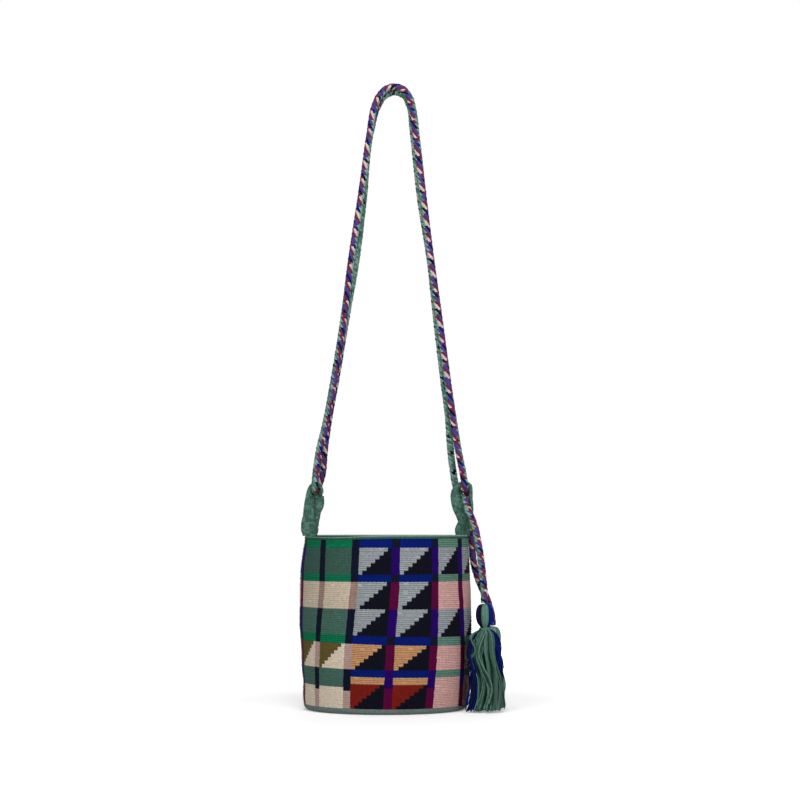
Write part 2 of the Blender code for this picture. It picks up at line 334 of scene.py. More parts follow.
RIGHT_LOOP = (
    (0.80, -0.035, -0.0010, 0.0106, 0.0052, 0),
    (0.82, 0.090, -0.0010, 0.0112, 0.0054, 0),
    (0.54, 0.225, -0.0010, 0.0106, 0.0052, 0),
    (0.66, 0.370, -0.0010, 0.0134, 0.0048, 0),
    (0.97, 0.530, -0.0006, 0.0148, 0.0046, 6),
    (1.27, 0.665, 0.0000, 0.0120, 0.0046, 8),
    (1.30, 0.800, 0.0000, 0.0114, 0.0046, 24),
    (1.12, 0.885, 0.0000, 0.0108, 0.0066, 58),
    (0.78, 0.946, 0.0000, 0.0096, 0.0068, 84),
    (0.25, 0.986, 0.0000, 0.0096, 0.0046, 90),
    (-0.20, 0.950, 0.0000, 0.0096, 0.0046, 90),
    (-0.38, 0.862, 0.0000, 0.0100, 0.0044, 90),
    (-0.40, 0.665, 0.0000, 0.0105, 0.0042, 88),
    (-0.46, 0.510, 0.0010, 0.0105, 0.0042, 84),
    (-0.37, 0.350, 0.0012, 0.0100, 0.0044, 78),
    (-0.12, 0.200, 0.0012, 0.0084, 0.0050, 50),
    (0.03, 0.095, 0.0004, 0.0074, 0.0056, 12),
    (0.03, -0.035, 0.0004, 0.0074, 0.0054, 0),
)

# Yarn colours, linear
YARNS = {
    # Each _line tone is a darker copy of its yarn, for painted shade in the wall's hollows, partly carried yarn
    "emerald": (0.002, 0.170, 0.072),
    "emerald_line": (0.002, 0.095, 0.043),
    "sage": (0.080, 0.175, 0.135),
    "sage_deep": (0.043, 0.098, 0.076),
    "sage_mid": (0.060, 0.134, 0.102),
    "sage_pale": (0.112, 0.222, 0.168),
    "sage_line": (0.032, 0.078, 0.058),
    "sage_light": (0.190, 0.310, 0.250),
    "pine": (0.014, 0.042, 0.028),
    "cream": (0.540, 0.468, 0.362),
    "cream_line": (0.400, 0.325, 0.245),
    "cream_pale": (0.640, 0.545, 0.430),
    "grey": (0.310, 0.340, 0.355),
    "grey_line": (0.160, 0.172, 0.176),
    "ink": (0.004, 0.004, 0.010),
    "blue": (0.001, 0.009, 0.125),
    "ochre": (0.520, 0.300, 0.130),
    "ochre_line": (0.300, 0.120, 0.070),
    "rust": (0.160, 0.010, 0.006),
    "pink": (0.600, 0.365, 0.330),
    "pink_line": (0.400, 0.205, 0.200),
    "purple": (0.014, 0.001, 0.098),
    "burgundy": (0.082, 0.001, 0.034),
    "navy": (0.004, 0.006, 0.018),
    "mauve": (0.300, 0.200, 0.172),
    "mauve_line": (0.225, 0.140, 0.122),
    "mauve_pale": (0.420, 0.300, 0.270),
    "olive": (0.085, 0.095, 0.022),
    "brown": (0.130, 0.060, 0.022),
    "violet": (0.066, 0.044, 0.180),
    "wine": (0.135, 0.016, 0.062),
    "petal": (0.560, 0.420, 0.410),
    "edge": (0.135, 0.175, 0.162),
}


# Camera, light and floor

WORLD_LIGHT = 0.30

# Name, place, what it points at, size and watts
LIGHTS = (
    ("key", (-1.0, -1.9, 0.6), (0, 0, -0.5), 1.0, 18),
    ("fill", (1.3, -1.8, 0.1), (0, 0, -0.5), 1.4, 17),
    ("top", (0.0, -1.3, 1.4), (0, 0, -0.6), 0.8, 21),
    ("rear", (0.2, 1.9, 0.9), (0, 0, -0.5), 1.6, 16),
)
FLOOR_REACH = 6.0
FLOOR_DROP = 0.0004  # below the base

# The light that the floor adds for the camera only: near the bag, and far from it
NEAR_GLOW = 0.26
FAR_GLOW = 0.80
NEAR_REACH = 0.22
FAR_REACH = 0.75


def set_camera():
    data = bpy.data.cameras.new("camera")
    data.lens = SENSOR_WIDTH * FOCAL_LENGTH / PICTURE_WIDTH
    data.sensor_width = SENSOR_WIDTH
    data.clip_start = 0.05
    data.clip_end = 50
    camera = bpy.data.objects.new("camera", data)
    camera.location = CAMERA_PLACE
    camera.rotation_euler = (math.radians(90 + CAMERA_PITCH), 0, 0)
    bpy.context.scene.collection.objects.link(camera)
    bpy.context.scene.camera = camera


def area_light(name, place, target, size, power):
    data = bpy.data.lights.new(name, "AREA")
    data.shape = "DISK"
    data.size = size
    data.energy = power
    light = bpy.data.objects.new(name, data)
    light.location = place
    away = Vector(place) - Vector(target)
    light.rotation_euler = away.to_track_quat("Z", "Y").to_euler()
    bpy.context.scene.collection.objects.link(light)


def set_inputs(made, **values):
    """Sets some of a node's inputs. An underscore in a name stands for a space."""
    for name, value in values.items():
        made.inputs[name.replace("_", " ")].default_value = value


def add_node(tree, kind, **values):
    made = tree.nodes.new("ShaderNode" + kind)
    set_inputs(made, **values)
    return made


def add_math(tree, operation):
    made = add_node(tree, "Math")
    made.operation = operation
    return made


def join(tree, *links):
    """Links, each from a node's output to another node's input."""
    for start, output, end, into in links:
        tree.links.new(start.outputs[output], end.inputs[into])


def seen_directly(tree):
    """1 for what the camera sees, straight or in a gloss or a glass, and 0 for other light."""
    path = add_node(tree, "LightPath")
    gloss = add_math(tree, "ADD")
    total = add_math(tree, "ADD")
    total.use_clamp = True
    join(
        tree,
        (path, "Is Glossy Ray", gloss, 0),
        (path, "Is Transmission Ray", gloss, 1),
        (path, "Is Camera Ray", total, 0),
        (gloss, "Value", total, 1),
    )
    return total


def set_world():
    """A soft even light, which the camera sees as white."""
    world = bpy.data.worlds.new("studio")
    bpy.context.scene.world = world
    world.use_nodes = True
    tree = world.node_tree
    tree.nodes.clear()
    soft = add_node(tree, "Background", Color=(0.97, 0.98, 1.0, 1), Strength=WORLD_LIGHT)
    white = add_node(tree, "Background", Color=(1, 1, 1, 1), Strength=1)
    mix = add_node(tree, "MixShader")
    out = add_node(tree, "OutputWorld")
    join(
        tree,
        (seen_directly(tree), "Value", mix, "Fac"),
        (soft, "Background", mix, 1),
        (white, "Background", mix, 2),
        (mix, "Shader", out, "Surface"),
    )


def make_floor():
    """A pale floor that looks white and still takes the object's shadow."""
    mesh = bpy.data.meshes.new("floor")
    corners = [(x * FLOOR_REACH, y * FLOOR_REACH, 0) for x, y in ((-1, -1), (1, -1), (1, 1), (-1, 1))]
    mesh.from_pydata(corners, [], [(0, 1, 2, 3)])
    material = bpy.data.materials.new("white_floor")
    material.use_nodes = True
    tree = material.node_tree
    shader = tree.nodes["Principled BSDF"]
    set_inputs(shader, Base_Color=(0.85, 0.85, 0.85, 1), Roughness=0.9, Specular_IOR_Level=0.0)
    set_inputs(shader, Emission_Color=(1, 1, 1, 1))
    place = add_node(tree, "TexCoord")
    away = add_node(tree, "VectorMath")
    away.operation = "LENGTH"
    level = add_node(tree, "MapRange", From_Min=NEAR_REACH, From_Max=FAR_REACH)
    set_inputs(level, To_Min=NEAR_GLOW, To_Max=FAR_GLOW)
    glow = add_math(tree, "MULTIPLY")
    join(
        tree,
        (place, "Object", away, 0),
        (away, "Value", level, "Value"),
        (seen_directly(tree), "Value", glow, 0),
        (level, "Result", glow, 1),
        (glow, "Value", shader, "Emission Strength"),
    )
    mesh.materials.append(material)
    floor = bpy.data.objects.new("floor", mesh)
    floor.location = (0, 0, BASE_Z - FLOOR_DROP)
    bpy.context.scene.collection.objects.link(floor)
    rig.stage(floor)


# Materials and meshes

MOTTLE_SCALE = 420
MOTTLE_DARK = 0.84  # of the yarn's colour
MOTTLE_PALE = 1.14
PALEST = 0.95
FIBRE_SCALE = 1500
PLY_SCALE = 260
YARN_RELIEF = 0.00022
MATERIALS = {}


def yarn_material(name, colour):
    """Matt cotton yarn: a dyed colour with mottled shades, twisted plies and loose fibres."""
    material = bpy.data.materials.new(name)
    material.use_nodes = True
    tree = material.node_tree
    shader = tree.nodes["Principled BSDF"]
    set_inputs(shader, Roughness=0.88, Specular_IOR_Level=0.05, Sheen_Weight=0.01, Sheen_Roughness=0.5)
    place = add_node(tree, "TexCoord")
    mottle = add_node(tree, "TexNoise", Scale=MOTTLE_SCALE, Detail=2)
    spread = add_node(tree, "MapRange", From_Min=0.32, From_Max=0.68)
    shade = add_node(tree, "Mix")
    shade.data_type = "RGBA"
    shade.inputs["A"].default_value = (*[MOTTLE_DARK * c for c in colour], 1)
    shade.inputs["B"].default_value = (*[min(MOTTLE_PALE * c, PALEST) for c in colour], 1)
    fibres = add_node(tree, "TexNoise", Scale=FIBRE_SCALE, Detail=3)
    plies = add_node(tree, "TexWave", Scale=PLY_SCALE, Distortion=3, Detail=2)
    plies.wave_type = "BANDS"
    plies.bands_direction = "DIAGONAL"
    both = add_math(tree, "ADD")
    bump = add_node(tree, "Bump", Strength=0.5, Distance=YARN_RELIEF)
    join(
        tree,
        (place, "Object", mottle, "Vector"),
        (mottle, "Fac", spread, "Value"),
        (spread, "Result", shade, "Factor"),
        (shade, "Result", shader, "Base Color"),
        (place, "Object", fibres, "Vector"),
        (place, "Object", plies, "Vector"),
        (fibres, "Fac", both, 0),
        (plies, "Fac", both, 1),
        (both, "Value", bump, "Height"),
        (bump, "Normal", shader, "Normal"),
    )
    return material


def yarn(name):
    if name not in MATERIALS:
        MATERIALS[name] = yarn_material("yarn_" + name, YARNS[name])
    return MATERIALS[name]


def make_piece(name, vertices, faces, yarn_names, yarn_of_face):
    """A smooth-shaded mesh object whose faces each take one of the named yarns."""
    mesh = bpy.data.meshes.new(name)
    mesh.from_pydata([tuple(v) for v in vertices], [], faces)
    for yarn_name in yarn_names:
        mesh.materials.append(yarn(yarn_name))
    mesh.polygons.foreach_set("material_index", np.array(yarn_of_face, dtype=np.int32))
    mesh.polygons.foreach_set("use_smooth", np.ones(len(mesh.polygons), dtype=bool))
    mesh.update()
    piece = bpy.data.objects.new(name, mesh)
    bpy.context.scene.collection.objects.link(piece)
    return piece


def place_piece(piece, slot, *nodes):
    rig.replaces(piece, *nodes)
    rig.slot(piece, slot)
    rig.ride(piece, "root")


def ring_faces(lines, columns, start=0, turned=False):
    """Quads between rings of points, each ring joined to the next."""
    faces = []
    for k in range(lines - 1):
        for i in range(columns):
            j = (i + 1) % columns
            a, b = start + k * columns, start + (k + 1) * columns
            quad = (a + i, b + i, b + j, a + j)
            faces.append(quad[::-1] if turned else quad)
    return faces


def tube_faces(lines, columns, start=0):
    """Quads between rings of points, then a cap on the first ring and one on the last."""
    last = start + (lines - 1) * columns
    first_cap = tuple(start + i for i in range(columns))
    last_cap = tuple(last + i for i in reversed(range(columns)))
    return ring_faces(lines, columns, start, turned=True) + [first_cap, last_cap]


def smooth_rows(rows, steps):
    """Catmull-Rom values between rows of numbers."""
    rows = np.array(rows, float)
    padded = np.vstack([2 * rows[0] - rows[1], rows, 2 * rows[-1] - rows[-2]])
    out = []
    for i in range(1, len(padded) - 2):
        p0, p1, p2, p3 = padded[i - 1 : i + 3]
        for k in range(steps):
            t = k / steps
            bend = 2 * p0 - 5 * p1 + 4 * p2 - p3
            rise = 3 * p1 - p0 - 3 * p2 + p3
            out.append(0.5 * (2 * p1 + (p2 - p0) * t + bend * t**2 + rise * t**3))
    out.append(rows[-1])
    return np.array(out)


def uneven(rng, size, count):
    """Random numbers up to a size either way."""
    return [rng.uniform(-size, size) for _ in range(count)]


def distances(points):
    """How far along their line each point lies."""
    return np.concatenate([[0], np.cumsum(np.linalg.norm(np.diff(points, axis=0), axis=1))])


def spaced(points, step):
    """The points again, evenly spaced along their line, and the distance of each given point."""
    points = np.array(points, float)
    along = distances(points)
    count = max(2, int(round(along[-1] / step)) + 1)
    places = np.linspace(0, along[-1], count)
    columns = [np.interp(places, along, points[:, i]) for i in range(points.shape[1])]
    return np.stack(columns, axis=1), along


# Strap


def route_points():
    """Points on the smooth curve through the route, with the same number on every stretch."""
    p = np.array(STRAP_ROUTE)
    long = np.linalg.norm(np.diff(p, axis=0), axis=1)
    lean = np.zeros_like(p)
    before, after = long[:-1, None], long[1:, None]
    lean[1:-1] = (
        after * (p[1:-1] - p[:-2]) / before + before * (p[2:] - p[1:-1]) / after
    ) / (before + after)
    lean[0] = (p[1] - p[0]) / long[0]
    lean[-1] = (p[-1] - p[-2]) / long[-1]
    points = []
    for i in range(len(p) - 1):
        for k in range(ROUTE_PARTS):
            t = k / ROUTE_PARTS
            points.append(
                (2 * t**3 - 3 * t**2 + 1) * p[i]
                + (t**3 - 2 * t**2 + t) * long[i] * lean[i]
                + (3 * t**2 - 2 * t**3) * p[i + 1]
                + (t**3 - t**2) * long[i] * lean[i + 1]
            )
    points.append(p[-1])
    return np.array(points)


def carried_frames(centres):
    """The path's directions, and two cross directions carried along it without twist."""
    along = np.gradient(centres, axis=0)
    along /= np.linalg.norm(along, axis=1)[:, None]
    first = np.array((0.0, -1.0, 0.0))
    first -= along[0] * first.dot(along[0])
    first /= np.linalg.norm(first)
    ups = [first]
    for k in range(1, len(centres)):
        up = ups[-1] - along[k] * ups[-1].dot(along[k])
        ups.append(up / np.linalg.norm(up))
    ups = np.array(ups)
    return along, ups, np.cross(along, ups)


ROUTE_PARTS = 24  # points on one stretch of the route
CORD_STRANDS = 6
CORD_SUB = 5  # points across one strand
CORD_AROUND = CORD_STRANDS * CORD_SUB
CORD_STEP = 0.0011
CORD_STITCH = 4  # rings in one stitch
CORD_SLANT = 1.16  # rise of a strand for each unit round the cord
# How far the points across one strand lie off its mean height
STRAND_LIFT = (-0.00055, -0.00004, 0.00016, 0.00016, -0.00004)
CORD_SINK = 0.00014  # from the cord's radius to the strands' mean height
CORD_PLUMP = 0.00014  # how far one stitch is thicker or thinner than the next
KNOT_RISE = 0.00044
KNOT_MEAN = 0.6
KNOT_POWER = 0.6
GREEN_SIDE = 78  # degrees from the stripes' middle to the green's edge
LEAF_FROM = 0  # a pale leaf's reach, in degrees from the stripes' middle
LEAF_TO = 86
PALE_TO = 132  # the pale green beside the stripes reaches this far, in degrees
PALE_CHANCE = 0.85  # of a pale green stitch on one side of the stripes
FAR_PALE_CHANCE = 0.6  # on their other side
CORD_YARNS = (
    "sage", "sage_deep", "sage_light", "navy", "blue", "violet", "wine", "rust", "petal", "cream",
)

# The yarns of a stitch, each up to its chance: on the green side, and in the four stripes
GREEN_MIX = ((0.10, "navy"), (0.26, "sage_deep"), (0.44, "sage_light"), (1.0, "sage"))
STRIPE_MIXES = (
    ((0.4, "blue"), (0.7, "violet"), (1.0, "navy")),
    ((1.0, "violet"),),
    ((0.06, "rust"), (1.0, "wine")),
    ((0.30, "cream"), (1.0, "petal")),
)
PETAL_STRIPE = 3


def picked(mix, chance):
    return next(name for limit, name in mix if chance < limit)


def strap_yarn(strand, off, rng):
    """The yarn of one stitch of the cord, from its strand and its angle off the stripes' middle."""
    chance = rng.random()
    if abs(off) > GREEN_SIDE:
        pale = PALE_CHANCE if off > 0 else FAR_PALE_CHANCE
        if abs(off) < PALE_TO and chance < pale:
            return "sage_light"
        return picked(GREEN_MIX, chance)
    stripe = strand % len(STRIPE_MIXES)
    if stripe == PETAL_STRIPE and not LEAF_FROM < off < LEAF_TO:
        return "wine"
    return picked(STRIPE_MIXES[stripe], chance)


def strand_shift(strand):
    """Every other strand's stitches lie half a stitch further along, in rings."""
    return CORD_STITCH // 2 * (strand % 2)


def stripe_turns(places, route_places, along, ups, sides):
    """The angle of the stripes' middle round the cord, at each place along it."""
    turns, turn_places = [], []
    for index, facing in STRIPES_FACE:
        place = route_places[index * ROUTE_PARTS]
        k = int(round(place / places[-1] * (len(places) - 1)))
        facing = np.array(facing, float)
        facing -= along[k] * facing.dot(along[k])
        turns.append(math.atan2(facing.dot(sides[k]), facing.dot(ups[k])))
        turn_places.append(place)
    return np.interp(places, turn_places, np.unwrap(turns))


def cord_points(centres, ups, sides, twist, rng):
    """Rings of points round the cord, with its strands and their stitches."""
    stitches = len(centres) // CORD_STITCH + 2
    plump = [uneven(rng, CORD_PLUMP, stitches) for _ in range(CORD_STRANDS)]
    points = []
    for k in range(len(centres)):
        for j in range(CORD_AROUND):
            angle = TURN * j / CORD_AROUND - twist[k]
            strand = j // CORD_SUB
            phase = (k + strand_shift(strand)) / CORD_STITCH
            knot = abs(math.sin(math.pi * phase)) ** KNOT_POWER
            reach = CORD / 2 - CORD_SINK + STRAND_LIFT[j % CORD_SUB] + KNOT_RISE * (knot - KNOT_MEAN)
            reach += plump[strand][int(phase)]
            out = math.cos(angle) * ups[k] + math.sin(angle) * sides[k]
            points.append(centres[k] + out * reach)
    return points


def cord_stitch_yarns(twist, middle, rng):
    """The yarn of each face of the cord, the same all over a stitch."""
    yarns = []
    chosen = {}
    for k in range(len(twist) - 1):
        for j in range(CORD_AROUND):
            strand = j // CORD_SUB
            stitch = (k + strand_shift(strand)) // CORD_STITCH
            if (strand, stitch) not in chosen:
                mid = stitch * CORD_STITCH - strand_shift(strand) + CORD_STITCH // 2
                mid = max(min(mid, len(twist) - 1), 0)
                angle = TURN * (strand + 0.5) / CORD_STRANDS - twist[mid] - middle[mid]
                off = (angle + math.pi) % TURN - math.pi
                crossed = (off + twist[mid] + middle[mid]) * CORD_STRANDS / TURN
                name = strap_yarn(math.floor(crossed), math.degrees(off), rng)
                chosen[(strand, stitch)] = CORD_YARNS.index(name)
            yarns.append(chosen[(strand, stitch)])
    return yarns


def make_strap():
    """The cord's piece, and its middle line."""
    centres, route_places = spaced(route_points(), CORD_STEP)
    places = np.linspace(0, route_places[-1], len(centres))
    along, ups, sides = carried_frames(centres)
    middle = stripe_turns(places, route_places, along, ups, sides)
    twist = places / (CORD_SLANT * (CORD / 2))
    rng = random.Random(5)
    vertices = cord_points(centres, ups, sides, twist, rng)
    yarns = cord_stitch_yarns(twist, middle, rng) + [0, 0]
    faces = tube_faces(len(centres), CORD_AROUND)
    strap = make_piece("strap_crochet", vertices, faces, CORD_YARNS, yarns)
    place_piece(strap, "strap_yarn", "strap_cord")
    return strap, centres


# Tassels


def tube(vertices, faces, path, radius, sides):
    """A thin round yarn along the path, added to a list of points and a list of faces."""
    start = len(vertices)
    path = np.array(path)
    along = np.gradient(path, axis=0)
    along /= np.linalg.norm(along, axis=1)[:, None]
    aside = np.array((0.3, 1.0, 0.1))
    for k in range(len(path)):
        across = np.cross(along[k], aside)
        across /= np.linalg.norm(across)
        back = np.cross(along[k], across)
        for i in range(sides):
            angle = TURN * i / sides
            vertices.append(path[k] + radius * (math.cos(angle) * across + math.sin(angle) * back))
    new = tube_faces(len(path), sides, start)
    faces.extend(new)
    return len(new)


TASSEL_YARNS = (
    "sage", "sage_deep", "sage_light", "sage_pale", "pine", "blue", "navy", "purple", "wine", "petal",
)

# The head: yarns from its top over its sides to the neck
HEAD_STRANDS = 46
HEAD_YARN = 0.00100  # radius
HEAD_INSET = 0.0012  # from the head's surface to its yarns' middles
HEAD_TOP = (0.0020, 0.0010)  # radius and drop
HEAD_SIDES = ((0.62, 0.0022), (0.90, 0.0065), (1.0, 0.0125), (0.97, 0.0175), (0.82, 0.0225))

# The skirt: locks of wavy yarns
SKIRT_YARN = 0.00068
SKIRT_STEPS = 16
SKIRT_FILL = 0.40  # the lower, the more yarns lie outside
SKIRT_BEGIN = 0.003  # above the neck's end
GOLDEN_ANGLE = 2.399963  # from one yarn to the next, which spreads them evenly
LOCKS = 19
LOCK_PHASES = 6.28  # the locks' waves start anywhere up to this angle
GATHER = 0.62  # how far a lock's yarns draw together half way down
SWAY = 0.0075  # side to side sweep of the front locks
SWAY_AT = 0.3  # its middle is this far left of the front
SWAY_WIDE = 0.9
SWAY_WAVES = 1.1
SWAY_FROM = 0.06
SWING_SHARE = 0.7
LOOSE_FROM = 286  # a lock at the front left that hangs loose, in degrees
LOOSE_TO = 322
EVEN_SHARE = 0.8  # of the yarns are cut evenly
EVEN_CUT = (0.965, 1.005)
SHORT_CUT = (0.86, 0.96)
SKIRT_PLACES = (0.0, 0.06, 0.16, 0.34, 0.66, 1.0)
SKIRT_OPEN = (0.0, 0.48, 0.72, 0.81, 0.89, 1.0)

# The binding: a yarn wound round the neck
BINDING_YARN = 0.00080
BINDING_OUT = 0.00120  # its middle lies this far outside the neck
BINDING_TURNS = 3
BINDING_POINTS = 20  # in one turn
BINDING_FROM = 0.0007
BINDING_SPARE = 0.0013  # of the wrap's height


def tassel_axes(top, lean):
    """A function that places a point of the tassel, and the way to its right."""
    lean = math.radians(lean)
    start = np.array(top) - np.array((0, 0, END_GAP))
    axis_down = np.array((-math.sin(lean), 0, -math.cos(lean)))
    right = np.array((math.cos(lean), 0, -math.sin(lean)))
    back = np.array((0.0, 1.0, 0.0))

    def spot(radius, azimuth, drop):
        """Azimuth 0 is the front, and a quarter turn the right."""
        side = math.sin(azimuth) * right - math.cos(azimuth) * back
        return start + side * radius + axis_down * drop

    return spot, right


def add_head(vertices, faces, spot, paint, rng):
    """The head's yarns, added to the points and the faces. Gives each face's yarn."""
    yarns = []
    neck_top = (TASSEL_NECK - 0.0002, TASSEL_HEAD_LENGTH - 0.0010)
    neck_end = (TASSEL_NECK - 0.0013, TASSEL_HEAD_LENGTH + 0.0020)
    for i in range(HEAD_STRANDS):
        azimuth = TURN * (i + rng.uniform(-0.2, 0.2)) / HEAD_STRANDS
        wide = TASSEL_HEAD - HEAD_INSET + rng.uniform(-0.0005, 0.0003)
        swirl = rng.uniform(-0.10, 0.10)
        shape = [HEAD_TOP] + [(share * wide, drop) for share, drop in HEAD_SIDES] + [neck_top, neck_end]
        points = [
            spot(radius, azimuth + swirl * drop / TASSEL_HEAD_LENGTH, drop)
            for radius, drop in smooth_rows(shape, 3)
        ]
        made = tube(vertices, faces, points, HEAD_YARN, 5)
        yarns += [TASSEL_YARNS.index(paint(math.degrees(azimuth) % 360, rng))] * made
    return yarns


def add_skirt(vertices, faces, spot, right, half_width, length, paint, strands, loose, rng):
    """The skirt's yarns, added to the points and the faces. Gives each face's yarn."""
    yarns = []
    neck = TASSEL_HEAD_LENGTH + WRAP_HEIGHT
    locks = [
        (rng.uniform(0, LOCK_PHASES), rng.uniform(0.8, 1.5), rng.uniform(0.0014, 0.0038))
        for _ in range(LOCKS)
    ]
    for i in range(strands):
        share = ((i + 0.5) / strands) ** SKIRT_FILL
        azimuth = i * GOLDEN_ANGLE + rng.uniform(-0.25, 0.25)
        degrees = math.degrees(azimuth) % 360
        lock = int((azimuth % TURN) / TURN * LOCKS) % LOCKS
        phase, waves, swing_size = locks[lock]
        gather = GATHER * ((lock + 0.5) * TURN / LOCKS - azimuth % TURN)
        front = (azimuth + SWAY_AT + math.pi) % TURN - math.pi
        sway = SWAY * share * math.exp(-((front / SWAY_WIDE) ** 2))
        colour, reach = paint(degrees, share, rng)
        begin = (TASSEL_NECK - 0.0012) * share
        end = (half_width - 0.0008) * share
        if LOOSE_FROM < degrees < LOOSE_TO:
            end *= loose
        cut = EVEN_CUT if rng.random() < EVEN_SHARE else SHORT_CUT
        drop = length * reach * rng.uniform(*cut)
        wave = rng.uniform(-0.4, 0.4)
        points = []
        for k in range(SKIRT_STEPS + 1):
            t = (k / SKIRT_STEPS) ** 1.35
            radius = begin + (end - begin) * np.interp(t * reach, SKIRT_PLACES, SKIRT_OPEN)
            swing = swing_size * math.sin(phase + wave + TURN * waves * t) * min(1, 2.2 * t)
            if math.sin(azimuth) < -0.2:
                swing = abs(swing)
            swing -= sway * math.sin(TURN * SWAY_WAVES * max(t - SWAY_FROM, 0))
            twist = 0.16 * math.sin(phase * 1.7 + 4.5 * t + wave) * t + gather * 4 * t * (1 - t)
            falls = neck - SKIRT_BEGIN + (drop + SKIRT_BEGIN) * t
            lies = spot(max(radius, 0.0003), azimuth + twist, falls)
            points.append(lies + right * swing * SWING_SHARE)
        made = tube(vertices, faces, points, SKIRT_YARN, 4)
        yarns += [TASSEL_YARNS.index(colour)] * made
    return yarns


def make_binding(name, spot):
    """The yarn wound round the neck."""
    vertices, faces, coil = [], [], []
    pitch = (WRAP_HEIGHT - BINDING_SPARE) / BINDING_TURNS
    for k in range(BINDING_TURNS * BINDING_POINTS + 1):
        drop = TASSEL_HEAD_LENGTH + BINDING_FROM + pitch * k / BINDING_POINTS
        coil.append(spot(TASSEL_NECK + BINDING_OUT, TURN * k / BINDING_POINTS, drop))
    count = tube(vertices, faces, coil, BINDING_YARN, 6)
    return make_piece(name, vertices, faces, ("sage",), [0] * count)


def make_tassel(name, top, lean, half_width, length, paint, head_paint, seed, strands, loose):
    """Yarns over the head, then a skirt of loose wavy yarns from the neck, and its binding."""
    rng = random.Random(seed)
    spot, right = tassel_axes(top, lean)
    vertices, faces = [], []
    yarns = add_head(vertices, faces, spot, head_paint, rng)
    yarns += add_skirt(vertices, faces, spot, right, half_width, length, paint, strands, loose, rng)
    tassel = make_piece(name, vertices, faces, TASSEL_YARNS, yarns)
    return tassel, make_binding(name + "_binding", spot)


BLUES = ("blue",) * 3 + ("navy",)


def green_yarn(rng):
    return rng.choice(("pine",) + ("sage_deep",) * 4 + ("sage",) * 3 + ("sage_pale",))


def front_skirt_yarn(azimuth, share, rng):
    """A yarn's colour and length. Blue lies at the right above and at the left, wine at the right."""
    if share > 0.62 and 48 < azimuth < 100:
        return rng.choice(BLUES), rng.uniform(0.46, 0.62)
    if share > 0.84 and 262 < azimuth < 330 and rng.random() < 0.6:
        return green_yarn(rng), rng.uniform(0.30, 0.44)
    if share > 0.48 and 280 < azimuth < 318:
        return rng.choice(BLUES), 1.0
    if 0.5 < share < 0.9 and 28 < azimuth < 75 and rng.random() < 0.35:
        return rng.choice(("wine", "wine", "petal")), 1.0
    if 120 < azimuth < 240 and rng.random() < 0.35:
        return rng.choice(("wine", "petal", "purple", "blue")), 1.0
    return green_yarn(rng), 1.0


def front_head_yarn(azimuth, rng):
    if azimuth < 26 or azimuth > 330:
        return rng.choice(("sage", "sage", "sage_pale"))
    if azimuth < 150:
        return "blue"
    if azimuth > 215:
        return rng.choice(("navy", "navy", "purple"))
    return rng.choice(("sage", "purple", "wine"))


def back_skirt_yarn(azimuth, share, rng):
    if 100 < azimuth < 200 and rng.random() < 0.5:
        return rng.choice(("blue", "wine", "petal")), 1.0
    return rng.choice(("sage", "sage_deep", "sage_deep", "sage_light", "pine")), 1.0


def back_head_yarn(azimuth, rng):
    if 90 < azimuth < 200:
        return rng.choice(("blue", "purple", "sage_deep"))
    return rng.choice(("sage_light", "sage", "sage_deep"))


# Loops

LOOP_YARNS = ("sage", "sage_mid", "sage_pale", "sage_deep")
LOOP_TONES = ("sage",) * 2 + ("sage_mid",) * 3 + ("sage_deep",) * 2
LOOP_STEP = 0.0008  # between two rings of points
LOOP_AROUND = 48  # points in one ring
LOOP_COLUMNS = 12  # stitches round the band
LOOP_STITCH = 0.0028  # height of one stitch
LOOP_PLUMP = 0.00022
LOOP_CORNER = 2.6  # a power: 2 is an oval section, and more is boxier
STITCH_SLANT = 0.35
GROOVE_DEPTH = 0.00080
LEG_HEIGHT = 0.00060
LOOP_SINK = 0.00105
# Painted highlight: pale sage stitches along the band's two edges, where light catches them
EDGE_HIGHLIGHT_SHARE = 0.6  # share of pale stitches along the band's two edges


def loop_band(table, side):
    """The band's middle line, evenly spaced, with its widths, and the distances along it."""
    end_x = BAG_AXIS_X + side * BAG_HALF_WIDTH
    along, height, y, width, thick, turn = smooth_rows(table, 12).T
    x = end_x - side * along * LOOP_SPAN
    z = RIM_Z + LOOP_SEAT + height * LOOP_HEIGHT
    rows = np.stack([x, y, z, width, thick, np.radians(turn)], axis=1)
    places = distances(rows[:, :3])
    even = np.linspace(0, places[-1], int(places[-1] / LOOP_STEP) + 1)
    return np.stack([np.interp(even, places, rows[:, i]) for i in range(6)], axis=1), even


def loop_points(band, even, tweak):
    """Rings of points round the band, with its stitches."""
    along = np.gradient(band[:, :3], axis=0)
    along /= np.linalg.norm(along, axis=1)[:, None]
    along[0] = (0, 0, 1)
    along[-1] = (0, 0, -1)
    points = []
    for k in range(len(band)):
        width, thick, turn = band[k, 3:]
        across = np.cross((0, 1, 0), along[k])
        across /= np.linalg.norm(across)
        back = np.cross(along[k], across)
        wide = math.cos(turn) * across + math.sin(turn) * back
        flat = np.cross(along[k], wide)
        for i in range(LOOP_AROUND):
            angle = TURN * i / LOOP_AROUND
            c, s = math.cos(angle), math.sin(angle)
            reach = (abs(c) ** LOOP_CORNER + abs(s) ** LOOP_CORNER) ** (-1 / LOOP_CORNER)
            u = (i / LOOP_AROUND * LOOP_COLUMNS) % 1
            v = even[k] / LOOP_STITCH + STITCH_SLANT * abs(2 * u - 1)
            groove = abs(math.sin(math.pi * v)) ** 0.5
            leg = abs(math.sin(math.pi * u)) ** 0.6
            lift = GROOVE_DEPTH * groove + LEG_HEIGHT * leg - LOOP_SINK
            lift += tweak[min(int(v), len(tweak) - 1)][i * LOOP_COLUMNS // LOOP_AROUND]
            point = band[k, :3] + wide * c * reach * width / 2 + flat * s * reach * thick / 2
            normal = wide * c * abs(c) + flat * s
            points.append(point + normal / np.linalg.norm(normal) * lift)
    return points


